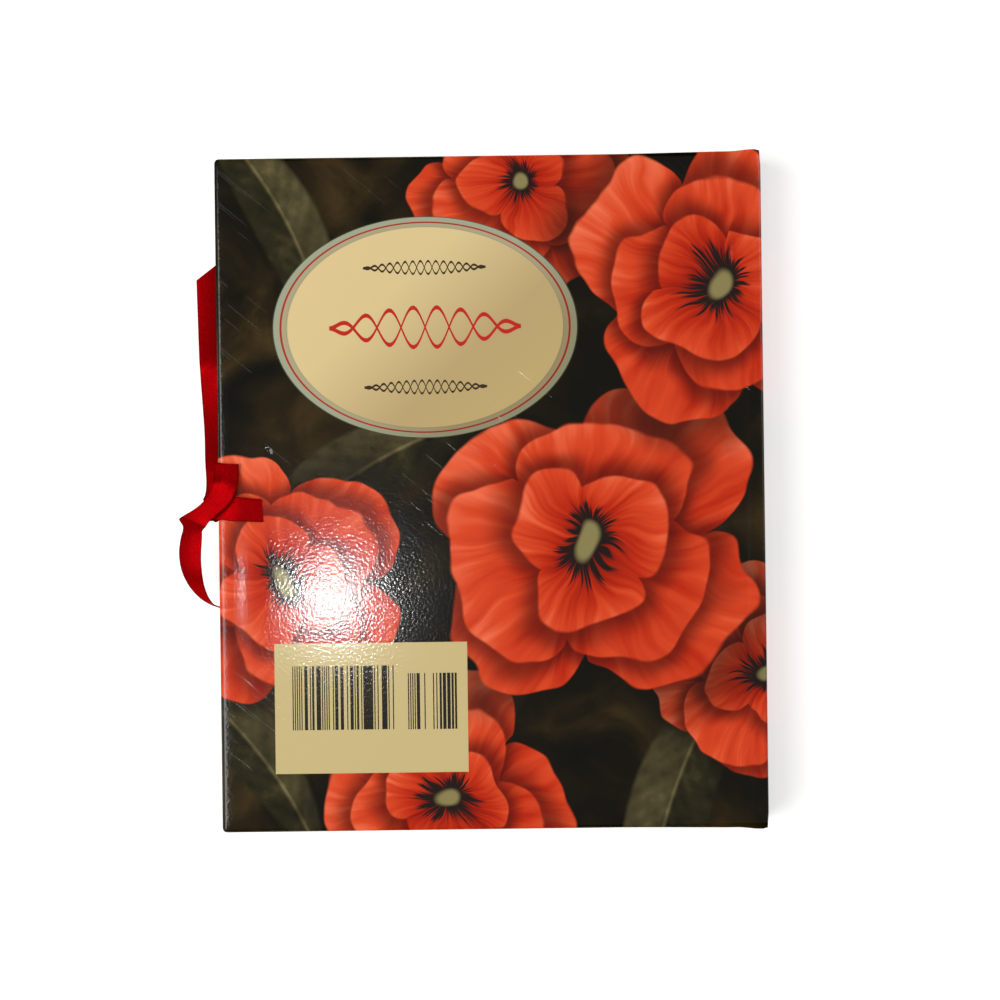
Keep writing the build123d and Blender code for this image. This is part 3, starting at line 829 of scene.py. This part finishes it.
# Sewing and lining: linen thread through the sections' folds, open cotton cloth glued over the back of the
# block, and a striped band at the head and the tail of the spine.
# Linen thread: off-white, matt, with a slight twist. A wave pattern of scale 1 repeats once in a wave_turn.
wave_turn = math.pi / 10
twist_pitch = 0.349066 * mm
linen, tree, shader = surface("linen_thread", {"Roughness": 0.8, "IOR": 1.5, "Sheen Weight": 0.2})
spot = add(tree, "TexCoord").outputs["Object"]
twist = add(
    tree, "TexWave", named={"Vector": spot, "Scale": wave_turn / twist_pitch, "Distortion": 1.0},
    bands_direction="DIAGONAL",
)
shade = add(tree, "ValToRGB", twist, stops=[(0.0, "#CFC6B0"), (1.0, "#EAE3D2")])
tree.links.new(shade.outputs[0], shader.inputs["Base Color"])
finish_node(linen, "thread", "sewing_thread")
# Lining cloth: loose cotton weave, stiff with glue, drawn coarser than its real threads.
weave_pitch = 0.981748 * mm
mull, tree, shader = surface("cotton_lining", {"Roughness": 0.85, "IOR": 1.5})
spot = add(tree, "TexCoord").outputs["Object"]
warp = add(tree, "TexWave", named={"Vector": spot, "Scale": wave_turn / weave_pitch}, bands_direction="Y")
weft = add(tree, "TexWave", named={"Vector": spot, "Scale": wave_turn / weave_pitch}, bands_direction="Z")
weave = add(tree, "Math", warp, weft, operation="MAXIMUM")
shade = add(tree, "ValToRGB", weave, stops=[(0.0, "#A89C80"), (1.0, "#E4DBC6")])
tree.links.new(shade.outputs[0], shader.inputs["Base Color"])
raised = add(tree, "Bump", named={"Height": weave, "Strength": 0.6, "Distance": 0.05 * mm})
tree.links.new(raised.outputs[0], shader.inputs["Normal"])
finish_node(mull, "lining_cloth", "spine_lining")
# Band cloth: mercerised cotton in red and cream stripes, with the soft sheen of its wound threads.
stripe_pair, rib_pitch, rib_height = 2.4 * mm, 0.6, 0.1
band_cloth, tree, shader = surface(
    "striped_cotton_band", {"Roughness": 0.55, "IOR": 1.5, "Sheen Weight": 0.3}
)
run = add(tree, "SeparateXYZ", add(tree, "UVMap", uv_map="flat")).outputs["X"]
stripe = add(tree, "Math", add(tree, "Math", run, stripe_pair, operation="DIVIDE"), operation="FRACT")
stripe = add(tree, "Math", stripe, 0.5, operation="GREATER_THAN")
shade = add(tree, "Mix", named={0: stripe, 6: linear("#E8DEC8"), 7: linear("#9E1A18")}, data_type="RGBA")
tree.links.new(shade.outputs[2], shader.inputs["Base Color"])
for name, end in [("headband", 1), ("tailband", -1)]:
    low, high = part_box(name)
    low, high = low / mm, high / mm
    near, outer = (low.y, high.y) if end > 0 else (high.y, low.y)
    points, flat = [], []
    stations = np.linspace(low.z, high.z, 120)
    for z in stations:
        rib = rib_height * abs(math.sin((z - low.z) * math.pi / rib_pitch))
        bead = [
            (low.x + 0.1, near), (low.x, near + end * 0.6), (low.x + 0.25, outer - end * 0.3),
            (low.x + 0.75, outer - end * (rib_height - rib)),
            (high.x - 0.25, outer - end * 0.3), (high.x, near + end * 0.6), (high.x - 0.1, near),
        ]
        for x, y in bead:
            points.append((x, min(max(y, low.y), high.y), z))
            flat.append((z - low.z, y))
    columns = len(bead)
    last_row = len(points) - columns
    faces = grid_faces(len(stations), columns)
    faces += [(i, i + columns, i + 2 * columns - 1, i + columns - 1) for i in range(0, last_row, columns)]
    faces += [tuple(range(columns)), tuple(range(last_row, len(points)))]
    band = piece(f"{name}_cloth", points, faces, band_cloth, flat)
    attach(band, "book_block")
    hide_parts(name)

# Ribbons: 6 mm red satin tape, glued under the pastedown at each cover's fore edge and tied over the closed
# edge. The knotted part lies on the back cover, and the front cover's tape comes up to it.
# Red satin: smooth floats that shine red along the tape, a fine lengthwise grain and a firm, darker selvedge
# at each edge. The floats are drawn coarser than real. Their specks of lighter red in the colour are painted
# glints over a random tone.
ribbon_width, ribbon_thickness, ribbon_cup, selvedge = 6.0, 0.22, 0.16, 0.45
grain_length, grain_width = 16.6667 * mm, 0.238095 * mm
float_length, float_width = 0.384615 * mm, 0.294118 * mm
pick_pitch = 0.35 * mm
satin, tree, shader = surface(
    "red_satin",
    {"Roughness": 0.36, "IOR": 1.5, "Metallic": 0.45, "Anisotropic": 0.6, "Specular IOR Level": 0.0},
)
shader.inputs["Specular Tint"].default_value = linear("#F02018")
run = add(tree, "UVMap", uv_map="flat")
spread = add(tree, "SeparateXYZ", run).outputs
selvedge_from = (ribbon_width / 2 - selvedge) * mm
edge = add(tree, "Math", spread["Y"], operation="ABSOLUTE")
edge = add(tree, "MapRange", edge, selvedge_from, selvedge_from + 0.25 * mm, 0.0, 1.0)
grain = add(tree, "VectorMath", run, (1 / grain_length, 1 / grain_width, 0.0), operation="MULTIPLY")
grain = add(tree, "TexNoise", named={"Vector": grain, "Scale": 1.0, "Detail": 2.0})
floats_and_glints = add(tree, "VectorMath", run, (1 / float_length, 1 / float_width, 0.0), operation="MULTIPLY")
floats_and_glints = add(tree, "TexNoise", named={"Vector": floats_and_glints, "Scale": 1.0, "Detail": 1.0})
# The float noise lightens the colour in specks: painted glints of the satin, mixed with random tone.
tone = add(tree, "Math", grain, 0.3, operation="MULTIPLY")
tone = add(tree, "Math", floats_and_glints, 0.7, tone, operation="MULTIPLY_ADD")
shade = add(tree, "ValToRGB", tone, stops=[(0.3, "#820104"), (0.5, "#920206"), (0.7, "#B2070E")])
shade = add(tree, "Mix", named={0: edge, 6: shade.outputs[0], 7: linear("#7C0104")}, data_type="RGBA")
tree.links.new(shade.outputs[2], shader.inputs["Base Color"])
picks = add(tree, "Math", spread["X"], 2 * math.pi / pick_pitch, operation="MULTIPLY")
picks = add(tree, "Math", picks, operation="SINE")
picks = add(tree, "Math", picks, 0.2, floats_and_glints, operation="MULTIPLY_ADD")
raised = add(tree, "Bump", named={"Height": picks, "Strength": 0.5, "Distance": 0.06 * mm})
tree.links.new(raised.outputs[0], shader.inputs["Normal"])
tangent = add(tree, "Tangent", direction_type="UV_MAP", uv_map="flat")
tree.links.new(tangent.outputs[0], shader.inputs["Tangent"])


def satin_ribbon(name, body, stations):
    """A flat ribbon through stations of its middle and its reach from edge to edge, in mm.
    Gives the piece and its middle line."""
    lines = []
    for side in (-0.5, 0.5):
        curve = bpy.data.curves.new("ribbon_edge", "CURVE")
        curve.dimensions = "3D"
        curve.resolution_u = 8
        line = curve.splines.new("NURBS")
        line.points.add(len(stations) - 1)
        for point, (middle, reach) in zip(line.points, stations):
            point.co = (*[m + side * r for m, r in zip(middle, reach)], 1)
        line.order_u = 3
        line.use_endpoint_u = True
        holder = bpy.data.objects.new("ribbon_edge", curve)
        mesh = bpy.data.meshes.new_from_object(holder)
        lines.append(np.array([v.co for v in mesh.vertices]))
        bpy.data.objects.remove(holder)
        bpy.data.meshes.remove(mesh)
    middle, reach = (lines[0] + lines[1]) / 2, lines[1] - lines[0]
    ahead = np.gradient(middle, axis=0)
    upright = np.cross(ahead, reach)
    upright /= np.linalg.norm(upright, axis=1)[:, None]
    run = np.concatenate([[0], np.cumsum(np.linalg.norm(np.diff(middle, axis=0), axis=1))])
    shares = np.linspace(-0.5, 0.5, 9)
    points, flat = [], []
    for sign in (-0.5, 0.5):
        for m, r, up, far in zip(middle, reach, upright, run):
            for share in shares:
                cup = ribbon_cup * (1 - (2 * share) ** 2)
                points.append(m + share * r + up * (sign * ribbon_thickness + cup))
                flat.append((far, ribbon_width * share))
    rows, columns = len(middle), len(shares)
    count = rows * columns
    faces = grid_faces(rows, columns) + grid_faces(rows, columns, count)
    for r in range(rows - 1):
        for i in (r * columns, r * columns + columns - 1):
            faces.append((i, i + columns, i + columns + count, i + count))
    for r in (0, rows - 1):
        for i in range(r * columns, r * columns + columns - 1):
            faces.append((i, i + 1, i + 1 + count, i + count))
    item = piece(name, points, faces, satin, flat)
    item.data.set_sharp_from_angle(angle=math.radians(50))
    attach(item, body)
    return item, [tuple(p * mm) for p in middle]


# The back cover's ribbon: from under the pastedown, up round the board, folded over the knot, then down.
back_stations = [
    ((-61, 3.4, 15.645), (0, 6, 0)), ((-71.3, 3.4, 15.645), (0, 6, 0)),
    ((-71.7, 3.4, 15.8), (0, 6, 0)), ((-71.75, 3.4, 16.6), (0, 6, 0)),
    ((-71.75, 3.5, 17.7), (0, 6, 0)), ((-71.7, 3.6, 18.7), (0, 6, 0)),
    ((-71.0, 3.8, 19.0), (0, 6, 0)), ((-69.6, 4.0, 18.85), (-2.4, 5.6, 0)),
    ((-68.7, 5.0, 18.75), (-5.2, 2.4, 0)), ((-68.6, 6.6, 18.72), (-5.8, 0, 0)),
    ((-68.6, 8.1, 18.8), (-6.0, 0.5, 0)), ((-68.6, 8.5, 19.15), (-6.1, 0.6, 0.2)),
    ((-68.6, 8.1, 19.6), (-6.2, 0.6, 1.2)), ((-68.6, 4.8, 20.0), (-6.2, 0.7, 1.7)),
    ((-68.9, 2.6, 20.2), (-6.2, 1.4, -1.5)), ((-70.3, -0.6, 20.2), (-5.4, 3.2, -1.5)),
    ((-73.0, -3.3, 20.1), (-3.4, 3.4, -0.7)), ((-75.2, -5.1, 20.0), (-3.6, 3.4, -0.6)),
    ((-77.0, -6.5, 19.8), (-5.8, 3.0, 0)), ((-77.9, -7.1, 19.3), (-6.5, 2.6, 0)),
    ((-77.9, -7.4, 18.8), (-6.2, 2.2, 0)), ((-77.7, -8.5, 17.9), (-4.6, 1.2, -0.2)),
    ((-78.3, -11, 17.0), (-5.7, 0.2, -0.6)), ((-78.9, -15, 16.0), (-5.9, 0, -0.8)),
    ((-78.7, -19.5, 14.6), (-5.5, 0, -1.6)), ((-77.6, -24.0, 12.6), (-4.3, 0.2, -3.4)),
    ((-75.4, -27.8, 9.4), (-2.5, 0, -5.0)), ((-72.6, -29.6, 7.0), (-0.4, -0.3, -5.9)),
    ((-70.3, -29.9, 6.2), (0, -0.2, -5.9)),
]
tie, line = satin_ribbon("back_ribbon_tie", "back_cover", back_stations)
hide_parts("back_ribbon")
# The front cover's ribbon past the knot: from its slanted cut end to the knot, through it and onto the cover.
bow_stations = [
    ((-75.2, 60.0, 0.6), (6, 4.6, -0.2)), ((-75.0, 50, 0.8), (6, 0, -0.2)),
    ((-74.7, 40, 1.4), (6, 0, -0.3)), ((-74.4, 36.4, 2.3), (6, 3.4, -0.5)),
    ((-74.3, 35.4, 2.6), (6, 3.4, 0.3)), ((-74.2, 33.4, 3.2), (6, 3.4, 1.7)),
    ((-73.5, 24, 5.0), (6, 0, 1.8)), ((-72.6, 16, 8.2), (6, 0, 1.3)),
    ((-72.1, 9, 12.2), (6, 0, 0.6)), ((-71.7, 3, 14.0), (5.6, -0.4, 0.6)),
    ((-72.2, -1.6, 14.7), (5.2, -3.4, 0)), ((-73.2, -3.6, 15.3), (4.6, -5.2, 0)),
    ((-73.2, -3.9, 16.2), (3.0, -6, 0)), ((-72.9, -3.6, 17.2), (1, -6, 0)),
    ((-72.3, -3.4, 18.2), (0, -6, 0)), ((-71.5, -3.3, 18.9), (0, -6, 0)),
    ((-70.2, -3.2, 18.95), (0, -6, 0)), ((-67.5, -3.4, 19.5), (0, -6.5, 0)),
    ((-64.8, -3.6, 19.6), (0, -6.3, 0)), ((-59.5, -4.0, 18.68), (0.45, -5.9, 0)),
]
bow, line = satin_ribbon("front_ribbon_knotted_end", "back_cover", bow_stations)
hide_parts("front_ribbon_bow")
# The front cover's tape: from under the pastedown up to the knot.
tape_line = [
    (-61, 2.775), (-71.8, 2.775), (-73, 3.2), (-73.8, 4.4),
    (-74.3, 7.5), (-74.2, 12.0), (-73.75, 15.8),
]
tape_stations = [((x, -3.6, z), (0, 6, 0)) for x, z in tape_line]
tape, _ = satin_ribbon("front_ribbon_tape_strip", "front_cover", tape_stations)
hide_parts("front_ribbon_tape")

# The stage: a pale floor under the book, soft light from both sides, one small lamp that the laminate
# mirrors, and a camera that looks straight down at the back cover.
floor_reach, floor_level = 3.0, -0.0003
ways = [(-1, -1), (1, -1), (1, 1), (-1, 1)]
floor_corners = [(x * floor_reach, y * floor_reach, floor_level) for x, y in ways]
floor_mesh = bpy.data.meshes.new("floor")
floor_mesh.from_pydata(floor_corners, [], [(0, 1, 2, 3)])
floor = bpy.data.objects.new("floor", floor_mesh)
bpy.context.scene.collection.objects.link(floor)
# Floor card: pale matt card that looks white to the camera, more so far off, and keeps the book's shadow.
glow_from, glow_to, least_glow = 0.3, 1.4, 0.5
card, tree, shader = surface("white_card", {"Roughness": 1.0, "IOR": 1.4})
shader.inputs["Base Color"].default_value = linear("#E6E6E4")
shader.inputs["Emission Color"].default_value = (1, 1, 1, 1)
path = add(tree, "LightPath").outputs
seen = add(tree, "Math", path["Is Camera Ray"], path["Is Glossy Ray"], operation="MAXIMUM")
away = add(tree, "VectorMath", add(tree, "TexCoord").outputs["Object"], operation="LENGTH").outputs["Value"]
glow = add(tree, "MapRange", away, glow_from, glow_to, least_glow, 1.0, interpolation_type="SMOOTHSTEP")
glow = add(tree, "Math", seen, glow, operation="MULTIPLY")
tree.links.new(glow.outputs[0], shader.inputs["Emission Strength"])
floor_mesh.materials.append(card)
# Studio air: white to the camera, and a dim even light on the book.
air_light = 0.16
world = bpy.data.worlds.new("studio")
bpy.context.scene.world = world
world.use_nodes = True
background = world.node_tree.nodes["Background"]
background.inputs["Color"].default_value = (1, 1, 1, 1)
ray = add(world.node_tree, "LightPath").outputs["Is Camera Ray"]
level = add(world.node_tree, "MapRange", ray, 0.0, 1.0, air_light, 1.0)
world.node_tree.links.new(level.outputs[0], background.inputs["Strength"])
# Each light: name, place and size in metres, and power in watts.
lights = [
    ("left_soft_light", (-1.06, -0.18, 1.38), 1.5, 27.0),
    ("right_soft_light", (1.2, 0.9, 1.3), 2.2, 16.0),
    ("small_lamp", (-0.098, -0.06, 0.8), 0.03, 0.22),
]
for name, place, size, power in lights:
    light = bpy.data.lights.new(name, "AREA")
    light.shape = "DISK"
    light.size = size
    light.energy = power
    lamp = bpy.data.objects.new(name, light)
    lamp.location = place
    lamp.rotation_euler = (Vector((0, 0, 0)) - Vector(place)).to_track_quat("-Z", "Y").to_euler()
    bpy.context.scene.collection.objects.link(lamp)
camera = bpy.data.objects.new("camera", bpy.data.cameras.new("camera"))
camera.data.lens = 83.5
camera.data.sensor_width = 36.0
camera.location = (2.17 * mm, -2.01 * mm, 620.6 * mm)
camera.rotation_euler = (0, 0, -0.01296)
bpy.context.scene.collection.objects.link(camera)
bpy.context.scene.camera = camera
bpy.context.scene.view_settings.view_transform = "Standard"
